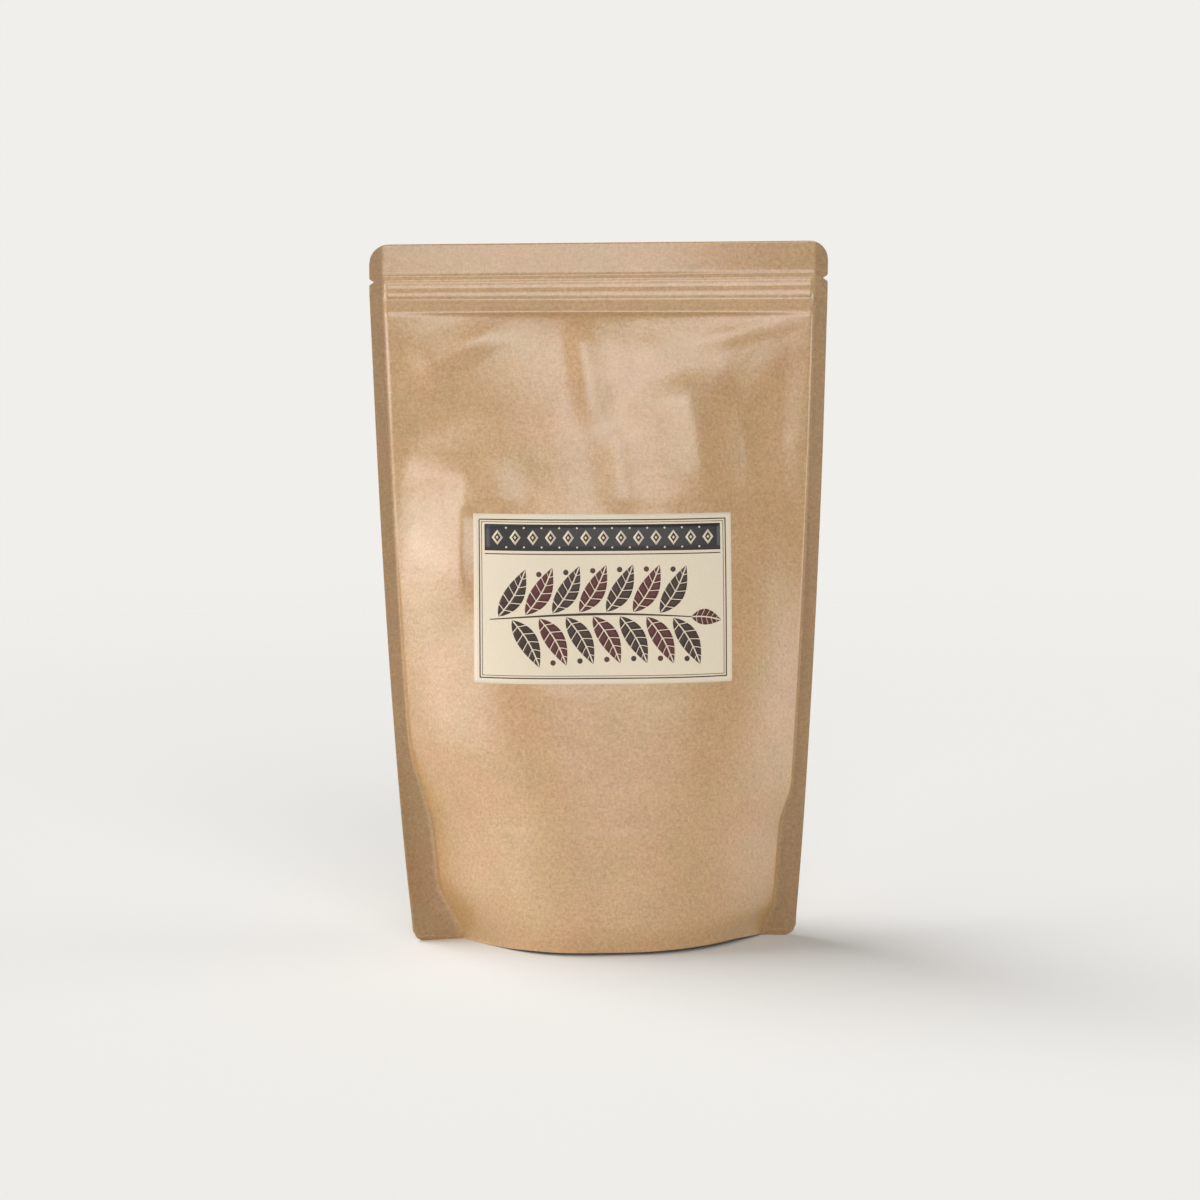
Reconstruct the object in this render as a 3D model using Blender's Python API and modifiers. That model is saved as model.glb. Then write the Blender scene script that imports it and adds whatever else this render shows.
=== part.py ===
"""A kraft laminate stand-up pouch, full of dried tonka beans and sealed.

The front and back webs are welded along both sides and across the top. A folded gusset closes the bottom and
opens into an oval foot. Inside are the two halves of the press-to-close zipper and the heap of beans.
A paper label is stuck on the front.

Metres, +Z up, the front faces -Y, and the origin is on the ground under the middle of the pouch.
"""

import math
import random

import bmesh
import bpy
from mathutils import Matrix, Vector

MM = 0.001

# The pouch
WIDTH = 190 * MM
HEIGHT = 291.2 * MM
FILM = 0.3 * MM  # wall of each web
GAP = 0.3 * MM  # clearance between two welded layers
GUSSET_GAP = 0.45 * MM  # clearance between the gusset and the web it is welded to
LEFT, RIGHT = -1, 1
FRONT, BACK = -1, 1

# Side edges: straight from the top down to the zipper, then drawn in towards the foot as the belly fills
FLAT_ABOVE = 270 * MM
FOOT_DRAWN_IN = {LEFT: 16.8 * MM, RIGHT: 12.6 * MM}
DRAW_LINEAR, DRAW_CUBIC = 0.62, 0.38

# Side welds, which widen into a flat ear on each side of the foot
SIDE_WELD = 5.7 * MM
EAR_TOP = {LEFT: 88 * MM, RIGHT: 66 * MM}
EAR_SHOULDER = {LEFT: 44 * MM, RIGHT: 46 * MM}
EAR_EXTRA = {LEFT: 6.7 * MM, RIGHT: 4.0 * MM}
TOE_TOP = {LEFT: 26 * MM, RIGHT: 15 * MM}
TOE_EXTRA = {LEFT: 8.2 * MM, RIGHT: 4.3 * MM}

# Belly: how far the filled web stands in front of the side welds
BELLY_DEPTH = 38.6 * MM
BELLY_TOP = 262.7 * MM
BELLY_FALL, BELLY_SHOULDER = 1.65, 0.75
SECTION_FOOT, SECTION_TOP = 3.0, 2.0  # squareness of the level section
SECTION_SOFT = {LEFT: 1.25, RIGHT: 1.05}  # how softly it runs into the weld
RIDGE_HEIGHT = {LEFT: 1.0 * MM, RIGHT: 3.2 * MM}  # pinched fold beside the weld
RIDGE_RISE, RIDGE_RUN = 1.2 * MM, 8 * MM

# Header: top weld, tear notches and zipper
TOP_WELD = 14.6 * MM
TOP_SKEW = 0.9 * MM  # the top edge isn't cut quite square
NOTCH_BELOW_TOP = 15.4 * MM
NOTCH_DEPTH = 2.1 * MM
NOTCH_HALF_HEIGHT = 1.25 * MM
TOP_CORNER, FOOT_CORNER = 8 * MM, 4.5 * MM
TOP_CORNER_BAND, FOOT_CORNER_BAND = 12 * MM, 10 * MM
SWAY_START = 180 * MM
SWAY_BACK = {LEFT: 1.5 * MM, RIGHT: 4.0 * MM}  # the stiff header curls back at its ends

# Zipper, as heights above the ground
ZIP_LOW, ZIP_HIGH = 262.8 * MM, 275.2 * MM
ZIP_LOCK = 267.7 * MM
ZIP_TAPE = 0.35 * MM
ZIP_EDGE = 0.5 * MM  # from the pouch's middle to the outside of a tape at the tape's edges
LOCK_BULGE, LOCK_SPREAD = 0.75 * MM, 2.2 * MM  # the tapes bow out round the lock
ZIP_END_CLEARANCE = 1.8 * MM
ZIP_CUTS = 8

# Gusset
GUSSET_HEIGHT = 50 * MM
SKIRT = 7 * MM  # weld between the gusset and a web at the middle of the foot
ARC_POWER = 4  # the weld rises along an arc to the ears
FLAT_SHARE = 0.35  # share of the depth over which the gusset lies on the ground
FOLD_DOWN, FOLD_UP = 20 * MM, 62 * MM  # from the middle: where the fold leaves the ground, and is fully up
EAR_LAYERS_FADE = 3 * MM, 9 * MM  # above the gusset: where the webs close over its thickness

# Label
LABEL_WIDTH, LABEL_HEIGHT = 106 * MM, 69 * MM
LABEL_CENTRE = 146.3 * MM
LABEL_THICKNESS = 0.25 * MM

# Beans: a dried tonka bean is a long, flat, slightly bent seed
BEAN_LENGTH, BEAN_WIDTH, BEAN_THICKNESS = 35 * MM, 13 * MM, 9 * MM
BEAN_BEND = 2.2 * MM
BEAN_SIDES, BEAN_RINGS = 6, 5
FILL_LOW, FILL_TOP = 11 * MM, 150 * MM
CORE_INSIDE_WALL = 6.0 * MM
BEAN_INSIDE_WALL = 7.6 * MM  # from the web to the middle of a bean that lies against it
BEAN_DEEPER_AT_SIDES = 1.4 * MM
BEAN_ROW, BEAN_COLUMN = 14.5 * MM, 31 * MM
BEAN_SLIDE = 2.5 * MM
BEAN_TURN_ON_WEB, BEAN_TURN_ON_TOP = math.radians(26), 0.6
FILL_HALF_AT_FOOT, FILL_HALF_GAIN = 30 * MM, 34 * MM  # how far the fill goes from the middle, over the gusset
FILL_WIDENS = 12 * MM, 66 * MM
FILL_FROM_FOLD = 12 * MM
SEED = 7

# Broad dents of the front and back webs: across, up, half sizes along and across, turn in degrees, height
FRONT_DENTS = [
    (-56, 244, 24, 7, 27, 1.8),
    (-18, 240, 22, 9, 86, 1.2),
    (38, 208, 32, 10, 99, 2.4),
    (62, 214, 34, 14, 80, -1.8),
    (66, 252, 22, 6, 22, 1.0),
    (-66, 201, 18, 15, 9, 0.8),
    (-66, 216, 24, 11, 8, -1.5),
]
BACK_DENTS = [
    (-30, 228, 36, 11, 40, -2.2),
    (28, 232, 34, 11, -52, 1.8),
    (40, 180, 40, 12, 75, -2.0),
    (-46, 150, 40, 14, 95, 1.8),
    (4, 120, 44, 16, 20, -1.4),
]

DENTS = {FRONT: FRONT_DENTS, BACK: BACK_DENTS}

MATERIALS = {  # colour, roughness
    "kraft": ((0.54, 0.34, 0.18), 0.5),
    "zipper": ((0.78, 0.78, 0.74), 0.4),
    "label": ((0.78, 0.68, 0.49), 0.6),
    "beans": ((0.045, 0.022, 0.014), 0.45),
}


def smooth_step(value, start, end):
    """0 at start, 1 at end, with no corner at either."""
    share = min(1.0, max(0.0, (value - start) / (end - start)))
    return share * share * (3 - 2 * share)


def blend(a, b, share):
    return a + (b - a) * share


def half_width(z, side):
    """From the middle of the pouch to its side edge."""
    down = min(1.0, max(0.0, 1 - z / FLAT_ABOVE))
    return WIDTH / 2 - FOOT_DRAWN_IN[side] * (DRAW_LINEAR * down + DRAW_CUBIC * down**3)


def weld_width(z, side):
    """Width of the flat weld along the side edge."""
    ear = EAR_EXTRA[side] * smooth_step(z, EAR_TOP[side], EAR_SHOULDER[side])
    toe = TOE_EXTRA[side] * smooth_step(z, TOE_TOP[side], 0)
    return SIDE_WELD + ear + toe


def fold(z, side):
    """From the middle of the pouch to where the belly meets the side weld."""
    return half_width(z, side) - weld_width(z, side)


def dent(x, z, dents):
    """The sum of the broad dents here, out from the web."""
    total = 0.0
    for across, up, along, wide, turn, height in dents:
        dx, dz = x - across * MM, z - up * MM
        c, s = math.cos(math.radians(turn)), math.sin(math.radians(turn))
        u = (dx * c + dz * s) / (along * MM)
        v = (dz * c - dx * s) / (wide * MM)
        total += height * MM * math.exp(-u * u - v * v)
    return total


def belly(x, z, face):
    """How far a web stands out from the plane of the side welds."""
    side = RIGHT if x > 0 else LEFT
    inside = fold(z, side) - abs(x)
    if inside <= 0 or z >= BELLY_TOP:
        return 0.0
    share = max(z, 0.0) / BELLY_TOP
    depth = BELLY_DEPTH * (1 - share**BELLY_FALL) ** BELLY_SHOULDER
    square = blend(SECTION_TOP, SECTION_FOOT, (1 - share) ** 1.5)
    section = (1 - (abs(x) / fold(z, side)) ** square) ** SECTION_SOFT[side]
    ridge_here = smooth_step(z, 6 * MM, 24 * MM) * (1 - smooth_step(z, 130 * MM, 246 * MM))
    ridge = ridge_here * smooth_step(inside, 0, RIDGE_RISE) * math.exp(-inside / RIDGE_RUN)
    edges = smooth_step(inside, 0, 12 * MM) * smooth_step(BELLY_TOP - z, 0, 14 * MM)
    return depth * section + RIDGE_HEIGHT[side] * ridge + edges * dent(x, z, DENTS[face])


def tape_outside(z):
    """From the pouch's middle to the outside of either zipper tape."""
    return ZIP_EDGE + LOCK_BULGE * math.exp(-(((z - ZIP_LOCK) / LOCK_SPREAD) ** 2))


def zip_swell(x, z):
    """How far the zipper between the webs pushes each of them out."""
    rise = smooth_step(z, ZIP_LOW - 2.2 * MM, ZIP_LOW - 0.6 * MM)
    fall = 1 - smooth_step(z, ZIP_HIGH, ZIP_HIGH + 2 * MM)
    reach = WIDTH / 2 - SIDE_WELD
    ends = 1 - smooth_step(abs(x), reach - 1.5 * MM, reach)
    return (tape_outside(z) + GAP / 2) * rise * fall * ends


def sway(x, z):
    """The bend of the whole header, back from the pouch's middle plane."""
    side = RIGHT if x > 0 else LEFT
    return SWAY_BACK[side] * (x / (WIDTH / 2)) ** 2 * smooth_step(z, SWAY_START, HEIGHT)


def skew(x, z):
    """How far the header is shifted up here, since its top edge isn't cut quite square."""
    return TOP_SKEW * (x / (WIDTH / 2)) * smooth_step(z, ZIP_LOW, HEIGHT - TOP_WELD)


def stand_off(x, z, face):
    """From the pouch's middle plane to the outside of a web."""
    low, high = EAR_LAYERS_FADE
    ear_layers = (FILM + GUSSET_GAP) * (1 - smooth_step(z, GUSSET_HEIGHT + low, GUSSET_HEIGHT + high))
    return FILM + GAP / 2 + ear_layers + max(belly(x, z, face), 0.0) + zip_swell(x, z)


def web_point(x, z, face):
    """A point on the outside of the front or back web."""
    return Vector((x, face * stand_off(x, z, face) + sway(x, z), z))


def inward(x, z, face):
    """The web's unit normal here, into the pouch."""
    step = 0.2 * MM
    across = web_point(x + step, z, face) - web_point(x - step, z, face)
    up = web_point(x, z + step, face) - web_point(x, z - step, face)
    normal = across.cross(up).normalized()
    return normal if normal.y * face < 0 else -normal


def corner_cut(inset, radius):
    """How much a rounded corner takes off the end of a line this far inside the side edge."""
    if inset >= radius:
        return 0.0
    return radius - math.sqrt(radius**2 - (radius - inset) ** 2)


def web_place(column, z, side):
    """(x, z) of a grid line of a web, with its corners rounded and its notches cut.

    A column up to 1 counts across the side weld, and the rest of them count on to the middle of the pouch.
    """
    weld = weld_width(z, side)
    inset = column * weld if column <= 1 else weld + (column - 1) * fold(z, side)
    top_cut = corner_cut(inset, TOP_CORNER)
    foot_cut = corner_cut(inset, FOOT_CORNER)
    band = HEIGHT - TOP_CORNER_BAND
    placed = z
    if z > band:
        placed = band + (z - band) * (TOP_CORNER_BAND - top_cut) / TOP_CORNER_BAND
    if z < FOOT_CORNER_BAND:
        placed = foot_cut + z * (FOOT_CORNER_BAND - foot_cut) / FOOT_CORNER_BAND
    from_notch = abs(z - (HEIGHT - NOTCH_BELOW_TOP)) / NOTCH_HALF_HEIGHT
    if from_notch < 1 and inset < NOTCH_DEPTH:
        inset += (NOTCH_DEPTH - inset) * (1 - from_notch) * 0.98
    return side * (half_width(placed, side) - inset), placed


def make_material(name):
    colour, roughness = MATERIALS[name]
    material = bpy.data.materials.new(name)
    material.use_nodes = True
    shader = material.node_tree.nodes["Principled BSDF"]
    shader.inputs["Base Color"].default_value = (*colour, 1)
    shader.inputs["Roughness"].default_value = roughness
    shader.inputs["Metallic"].default_value = 0
    return material


def grid_object(name, columns, rows, place, material, collection):
    """An open sheet: a grid primitive whose points place(column, row) sets."""
    bpy.ops.mesh.primitive_grid_add(x_subdivisions=columns - 1, y_subdivisions=rows - 1, size=2)
    obj = bpy.context.object
    obj.name = obj.data.name = name
    for vertex in obj.data.vertices:
        column = round((vertex.co.x + 1) / 2 * (columns - 1))
        row = round((vertex.co.y + 1) / 2 * (rows - 1))
        vertex.co = place(column, row)
    obj.data.materials.append(material)
    obj.data.shade_smooth()
    collection_move(obj, collection)
    return obj


def collection_move(obj, collection):
    for held in list(obj.users_collection):
        held.objects.unlink(obj)
    collection.objects.link(obj)


def thicken(obj, thickness, offset):
    wall = obj.modifiers.new("wall", "SOLIDIFY")
    wall.thickness = thickness
    wall.offset = offset
    wall.use_even_offset = True


def facing_out(obj, outward):
    """Turns the sheet's faces so that the middle one looks the way given."""
    mesh = obj.data
    middle = mesh.polygons[len(mesh.polygons) // 2]
    if middle.normal.dot(Vector(outward)) < 0:
        mesh.flip_normals()


# Grid lines of a web: across the weld, then shares of the belly from the fold to the middle
WELD_COLUMNS = [0, 0.12, 0.38, 0.7, 1]
BELLY_COLUMNS = [0.016, 0.05, 0.1, 0.16, 0.24, 0.34, 0.46, 0.6, 0.8]
ROWS_MM = [0, 3, 7, 12, 18, 26, 35, 44, 52, 60, 71, 84, 98, 113, 128, 143, 158, 173, 188, 202]
ROWS_MM += [215, 227, 238, 247, 254.5, 259, 261.6, 263.2, 265.5, 267.7, 269.9, 272.2]
ROWS_MM += [274.55, 275.8, 277.05, 279.2, 283.7, 287.2, 289.9, 291.2]


def mirrored_columns():
    """(column, side) of every grid line, from the left edge of the pouch to its right edge."""
    half = WELD_COLUMNS + [1 + share for share in BELLY_COLUMNS]
    left = [(column, LEFT) for column in half]
    right = [(column, RIGHT) for column in reversed(half)]
    return left + [(2, RIGHT)] + right


def make_web(name, face, material, collection):
    lines = mirrored_columns()

    def place(column, row):
        x, z = web_place(lines[column][0], ROWS_MM[row] * MM, lines[column][1])
        return web_point(x, z, face) + Vector((0, 0, skew(x, z)))

    web = grid_object(name, len(lines), len(ROWS_MM), place, material, collection)
    facing_out(web, (0, face, 0))
    thicken(web, FILM, -1)
    return web


def skirt_height(x, side):
    """Height of the weld between the gusset and a web."""
    reach = half_width(0, side) - SIDE_WELD
    return SKIRT + (GUSSET_HEIGHT - SKIRT) * min(1.0, abs(x) / reach) ** ARC_POWER


def gusset_layer(x, z, face):
    """A point in the middle of the gusset's film where it is welded to a web."""
    return web_point(x, z, face) + inward(x, z, face) * (1.5 * FILM + GUSSET_GAP)


def fold_height(x, side):
    """Height of the gusset's middle fold: on the ground in the middle, and up inside the ears."""
    weld = skirt_height(x, side)
    depth = abs(gusset_layer(x, weld, FRONT).y)
    spare = max((GUSSET_HEIGHT - weld) ** 2 - depth**2, (FILM / 2 + GAP / 2) ** 2)
    up = weld + math.sqrt(spare)
    return max(FILM / 2, up * smooth_step(abs(x), FOLD_DOWN, FOLD_UP))


def make_gusset(material, collection):
    """The bottom film: up the inside of the front web, over to the middle, and down inside the back web."""
    skirt_rows = [0, 0.25, 0.5, 0.75, 1]
    floor_rows = [0.12, 0.3, 0.5, 0.65, 0.82]
    lines = mirrored_columns()
    path = [(FRONT, "skirt", s) for s in skirt_rows] + [(FRONT, "floor", s) for s in floor_rows]
    path += [(FRONT, "floor", 1)]
    path += [(BACK, "floor", s) for s in reversed(floor_rows)]
    path += [(BACK, "skirt", s) for s in reversed(skirt_rows)]

    def place(column, row):
        line, side = lines[column]
        face, stretch, share = path[row]
        x, lowest = web_place(line, 0, side)
        weld = max(skirt_height(x, side), lowest + FILM)
        if stretch == "skirt":
            z = blend(lowest, weld, share)
            return gusset_layer(web_place(line, z, side)[0], z, face)
        top = gusset_layer(web_place(line, weld, side)[0], weld, face)
        middle = Vector((top.x, 0, fold_height(x, side)))
        if middle.z < weld:
            rise = max(0.0, (1 - share - FLAT_SHARE) / (1 - FLAT_SHARE)) ** 2.5
        else:
            rise = (1 - share) ** 1.7
        return Vector((top.x, top.y * (1 - share), blend(middle.z, weld, rise)))

    gusset = grid_object("bottom_gusset", len(lines), len(path), place, material, collection)
    facing_out(gusset, (0, 0, 1))
    thicken(gusset, FILM, 0)
    return gusset


def make_label(material, collection):
    columns, rows = 13, 9

    def place(column, row):
        x = (column / (columns - 1) - 0.5) * LABEL_WIDTH
        z = LABEL_CENTRE + (row / (rows - 1) - 0.5) * LABEL_HEIGHT
        lift = GAP + LABEL_THICKNESS
        return web_point(x, z, FRONT) - inward(x, z, FRONT) * lift

    label = grid_object("paper_label", columns, rows, place, material, collection)
    facing_out(label, (0, FRONT, 0))
    thicken(label, LABEL_THICKNESS, -1)
    return label


# Shape of the lock in millimetres: up from its centre line, and behind the pouch's middle plane
GROOVE_LOCK = [(1.55, 0.35), (0.6, 0.35), (0.6, 0.05), (1.05, 0.05), (1.05, -0.9)]
GROOVE_LOCK += [(-up, depth) for up, depth in reversed(GROOVE_LOCK)]
RIB_LOCK = [(0.3, -0.25), (0.75, -0.25), (0.3, -0.6)]
RIB_LOCK += [(-up, depth) for up, depth in reversed(RIB_LOCK)]


def zipper_section(face, lock):
    """The outline of a zipper half: out along the tape's outside, back along its inside, round the lock."""
    root = lock[0][0]
    above = [root] + [up for up in (1.3, 2.4, 3.6, 5.2) if up > root] + [(ZIP_HIGH - ZIP_LOCK) / MM]
    below = [(ZIP_LOW - ZIP_LOCK) / MM] + [-up for up in (3.6, 2.4, 1.3) if up > root] + [-root]

    def tape(up, inset):
        return up, face * (tape_outside(ZIP_LOCK + up * MM) - inset) / MM

    outside = [tape(up, 0) for up in below + [0] + above]
    inside_above = [tape(up, ZIP_TAPE) for up in reversed(above)]
    inside_below = [tape(up, ZIP_TAPE) for up in reversed(below)]
    return outside + inside_above + lock + inside_below


def make_zipper_half(name, section, material, collection):
    """A strip of constant section, bent along the header."""
    outline = bpy.data.curves.new(name + "_outline", "CURVE")
    outline.dimensions = "2D"
    outline.fill_mode = "BOTH"
    outline.extrude = WIDTH / 2 - SIDE_WELD - ZIP_END_CLEARANCE
    spline = outline.splines.new("POLY")
    spline.points.add(len(section) - 1)
    for point, (up, depth) in zip(spline.points, section):
        point.co = (depth * MM, up * MM, 0, 1)
    spline.use_cyclic_u = True
    guide = bpy.data.objects.new(name + "_guide", outline)
    collection.objects.link(guide)
    bpy.context.view_layer.update()
    graph = bpy.context.evaluated_depsgraph_get()
    mesh = bpy.data.meshes.new_from_object(guide.evaluated_get(graph))
    bpy.data.objects.remove(guide)
    # The outline is drawn in depth and height, and its length becomes the pouch's width
    mesh.transform(Matrix(((0, 0, 1, 0), (1, 0, 0, 0), (0, 1, 0, ZIP_LOCK), (0, 0, 0, 1))))
    shape = bmesh.new()
    shape.from_mesh(mesh)
    bmesh.ops.remove_doubles(shape, verts=shape.verts, dist=0.01 * MM)
    for cut in range(1, ZIP_CUTS):
        place = Vector(((cut / ZIP_CUTS * 2 - 1) * outline.extrude, 0, 0))
        geometry = shape.verts[:] + shape.edges[:] + shape.faces[:]
        bmesh.ops.bisect_plane(shape, geom=geometry, plane_co=place, plane_no=(1, 0, 0), dist=0.001 * MM)
    for vertex in shape.verts:
        vertex.co.y += sway(vertex.co.x, vertex.co.z)
        vertex.co.z += skew(vertex.co.x, vertex.co.z)
    bmesh.ops.recalc_face_normals(shape, faces=shape.faces)
    shape.to_mesh(mesh)
    shape.free()
    mesh.name = name
    mesh.materials.append(material)
    half = bpy.data.objects.new(name, mesh)
    collection.objects.link(half)
    return half


def room_inside(x, z, clearance):
    """From the middle plane to this far inside either web."""
    slope = abs(inward(x, z, FRONT).y)
    return min(stand_off(x, z, FRONT), stand_off(x, z, BACK)) - clearance / max(slope, 0.5)


def fill_reach(z, side, clearance):
    """How far from the middle the fill goes at this height, over the gusset and inside the side folds."""
    above_gusset = FILL_HALF_AT_FOOT + FILL_HALF_GAIN * smooth_step(z, *FILL_WIDENS)
    return min(above_gusset, fold(z, side) - FILL_FROM_FOLD) - clearance


def core_point(angle, height):
    """A point on the rounded block in the middle of the heap. The height runs from -1 at the bottom to 1."""
    z = blend(FILL_LOW + CORE_INSIDE_WALL / 2, FILL_TOP - CORE_INSIDE_WALL, (height + 1) / 2)
    ring = math.sqrt(max(0.0, 1 - height ** (4 if height > 0 else 10)))
    side = RIGHT if math.cos(angle) > 0 else LEFT
    x = fill_reach(z, side, CORE_INSIDE_WALL) * math.cos(angle) * ring
    squared = math.copysign(abs(math.sin(angle)) ** 0.5, math.sin(angle))
    y = room_inside(x, z, CORE_INSIDE_WALL) * squared * ring
    return Vector((x, y, z))


def make_core(collection):
    """The unseen middle of the heap, which keeps inside the webs and off the gusset."""
    bpy.ops.mesh.primitive_uv_sphere_add(segments=20, ring_count=10, radius=1)
    core = bpy.context.object
    core.name = "core"
    for vertex in core.data.vertices:
        height = max(-1.0, min(1.0, math.copysign(abs(vertex.co.z) ** 0.8, vertex.co.z)))
        vertex.co = core_point(math.atan2(vertex.co.y, vertex.co.x), height)
    collection_move(core, collection)
    return core


def add_bean(centre, along, out, grow, collection):
    """One bean: its length runs along one direction and its flat side looks out."""
    bpy.ops.mesh.primitive_uv_sphere_add(segments=BEAN_SIDES, ring_count=BEAN_RINGS, radius=0.5)
    bean = bpy.context.object
    across = out.cross(along).normalized()
    along = across.cross(out).normalized()
    for vertex in bean.data.vertices:
        end = vertex.co.z
        length = end * BEAN_LENGTH * grow
        width = vertex.co.x * BEAN_WIDTH * grow + BEAN_BEND * (1 - 8 * end * end)
        thickness = vertex.co.y * BEAN_THICKNESS * grow
        vertex.co = centre + along * length + across * width + out * thickness
    collection_move(bean, collection)


def add_beans_on_web(face, draw, collection):
    """Beans lying flat against a web, in staggered rows."""
    row, z = 0, FILL_LOW + 10 * MM
    while z < FILL_TOP - 6 * MM:
        shift = BEAN_COLUMN * (0.5 if row % 2 else 0.0) * 0.9
        for step in range(-3, 4):
            x = step * BEAN_COLUMN + shift + draw.uniform(-BEAN_SLIDE, BEAN_SLIDE)
            turn = draw.uniform(-BEAN_TURN_ON_WEB, BEAN_TURN_ON_WEB)
            grow = draw.uniform(0.86, 1.0)
            side = RIGHT if x > 0 else LEFT
            if abs(x) + 0.42 * BEAN_LENGTH > fill_reach(z, side, 0):
                continue
            into = inward(x, z, face)
            depth = BEAN_INSIDE_WALL + BEAN_DEEPER_AT_SIDES * (x / (WIDTH / 4)) ** 2
            along = Vector((math.cos(turn), 0, math.sin(turn)))
            add_bean(web_point(x, z, face) + into * depth, along, -into, grow, collection)
        z += BEAN_ROW
        row += 1


def add_beans_on_top(draw, collection):
    """Beans lying loose on top of the heap, in rings around its middle."""
    for ring, count in ((0.0, 1), (0.4, 5), (0.74, 8)):
        for number in range(count):
            angle = math.tau * (number + draw.uniform(-0.12, 0.12)) / count
            height = (1 - ring**2) ** 0.25
            turn = draw.uniform(-BEAN_TURN_ON_TOP, BEAN_TURN_ON_TOP)
            out = Vector((draw.uniform(-0.15, 0.15), draw.uniform(-0.15, 0.15), 1)).normalized()
            centre = core_point(angle, height) + Vector((0, 0, draw.uniform(1, 2) * MM))
            add_bean(centre, Vector((math.cos(turn), math.sin(turn), 0)), out, 0.9, collection)


def make_beans(material, collection, helpers):
    """The heap of beans as one body: every bean stands out of the core that it is joined to."""
    heap = make_core(collection)
    heap.name = heap.data.name = "bean_fill"
    draw = random.Random(SEED)
    add_beans_on_web(FRONT, draw, helpers)
    add_beans_on_web(BACK, draw, helpers)
    add_beans_on_top(draw, helpers)
    union = heap.modifiers.new("beans", "BOOLEAN")
    union.operation = "UNION"
    union.operand_type = "COLLECTION"
    union.collection = helpers
    union.solver = "MANIFOLD"
    bpy.context.view_layer.update()
    graph = bpy.context.evaluated_depsgraph_get()
    joined = bpy.data.meshes.new_from_object(heap.evaluated_get(graph))
    heap.modifiers.clear()
    heap.data = joined
    for bean in list(helpers.objects):
        bpy.data.objects.remove(bean)
    heap.data.materials.clear()
    heap.data.materials.append(material)
    return heap


def main():
    for obj in list(bpy.data.objects):
        bpy.data.objects.remove(obj)
    pouch = bpy.data.collections.new("stand_up_pouch")
    helpers = bpy.data.collections.new("loose_beans")
    for collection in (pouch, helpers):
        bpy.context.scene.collection.children.link(collection)
    materials = {name: make_material(name) for name in MATERIALS}
    make_web("front_web", FRONT, materials["kraft"], pouch)
    make_web("back_web", BACK, materials["kraft"], pouch)
    make_gusset(materials["kraft"], pouch)
    make_zipper_half("zipper_groove", zipper_section(FRONT, GROOVE_LOCK), materials["zipper"], pouch)
    make_zipper_half("zipper_rib", zipper_section(BACK, RIB_LOCK), materials["zipper"], pouch)
    make_label(materials["label"], pouch)
    make_beans(materials["beans"], pouch, helpers)


main()
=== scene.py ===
"""Kraft stand-up pouch with a paper label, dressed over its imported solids.

Metres, +Z up, the front faces -Y, and the origin is on the ground under the middle of the pouch.
"""

import math

import bmesh
import bpy
from bpy.props import FloatProperty, FloatVectorProperty, PointerProperty
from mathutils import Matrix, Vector, noise


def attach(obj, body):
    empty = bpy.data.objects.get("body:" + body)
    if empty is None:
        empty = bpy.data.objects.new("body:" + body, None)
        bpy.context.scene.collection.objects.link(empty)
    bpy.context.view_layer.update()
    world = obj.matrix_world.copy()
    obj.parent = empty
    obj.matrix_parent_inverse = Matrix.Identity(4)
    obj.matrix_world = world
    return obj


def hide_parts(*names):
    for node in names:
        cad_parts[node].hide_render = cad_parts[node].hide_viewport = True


bl_info = {
    "name": "Kraft stand-up pouch",
    "version": (1, 0, 0),
    "blender": (4, 5, 0),
    "location": "View3D > Sidebar > Pouch",
    "description": "Builds a filled kraft stand-up pouch with its zipper, label and studio",
    "category": "Object",
}

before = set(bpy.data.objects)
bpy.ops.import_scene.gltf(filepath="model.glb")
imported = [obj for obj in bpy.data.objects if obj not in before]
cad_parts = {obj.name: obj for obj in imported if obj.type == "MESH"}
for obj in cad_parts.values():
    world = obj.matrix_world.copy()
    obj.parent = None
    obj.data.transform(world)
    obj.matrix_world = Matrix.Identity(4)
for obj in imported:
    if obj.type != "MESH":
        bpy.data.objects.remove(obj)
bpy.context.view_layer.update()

MM = 0.001
LEFT, RIGHT = -1, 1
FRONT, BACK = -1, 1

# The pouch, with the values of its solids
WIDTH = 190 * MM
HEIGHT = 291.2 * MM
FLAT_ABOVE = 270 * MM
FOOT_DRAWN_IN = {LEFT: 16.8 * MM, RIGHT: 12.6 * MM}
DRAW_LINEAR, DRAW_CUBIC = 0.62, 0.38
SIDE_WELD = 5.7 * MM
EAR_TOP = {LEFT: 88 * MM, RIGHT: 66 * MM}
EAR_SHOULDER = {LEFT: 44 * MM, RIGHT: 46 * MM}
EAR_EXTRA = {LEFT: 6.7 * MM, RIGHT: 4.0 * MM}
TOE_TOP = {LEFT: 26 * MM, RIGHT: 15 * MM}
TOE_EXTRA = {LEFT: 8.2 * MM, RIGHT: 4.3 * MM}
BELLY_DEPTH = 38.6 * MM
BELLY_TOP = 262.7 * MM
BELLY_FALL, BELLY_SHOULDER = 1.65, 0.75
SECTION_FOOT, SECTION_TOP = 3.0, 2.0
SECTION_SOFT = {LEFT: 1.25, RIGHT: 1.05}
RIDGE_HEIGHT = {LEFT: 1.0 * MM, RIGHT: 3.2 * MM}
RIDGE_RISE, RIDGE_RUN = 1.2 * MM, 8 * MM
TOP_WELD = 14.6 * MM
TOP_SKEW = 0.9 * MM
NOTCH_BELOW_TOP = 15.4 * MM
NOTCH_DEPTH = 2.1 * MM
NOTCH_HALF_HEIGHT = 1.25 * MM
TOP_CORNER, FOOT_CORNER = 8 * MM, 4.5 * MM
TOP_CORNER_BAND, FOOT_CORNER_BAND = 12 * MM, 10 * MM
SWAY_START = 180 * MM
SWAY_BACK = {LEFT: 1.5 * MM, RIGHT: 4.0 * MM}
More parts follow.
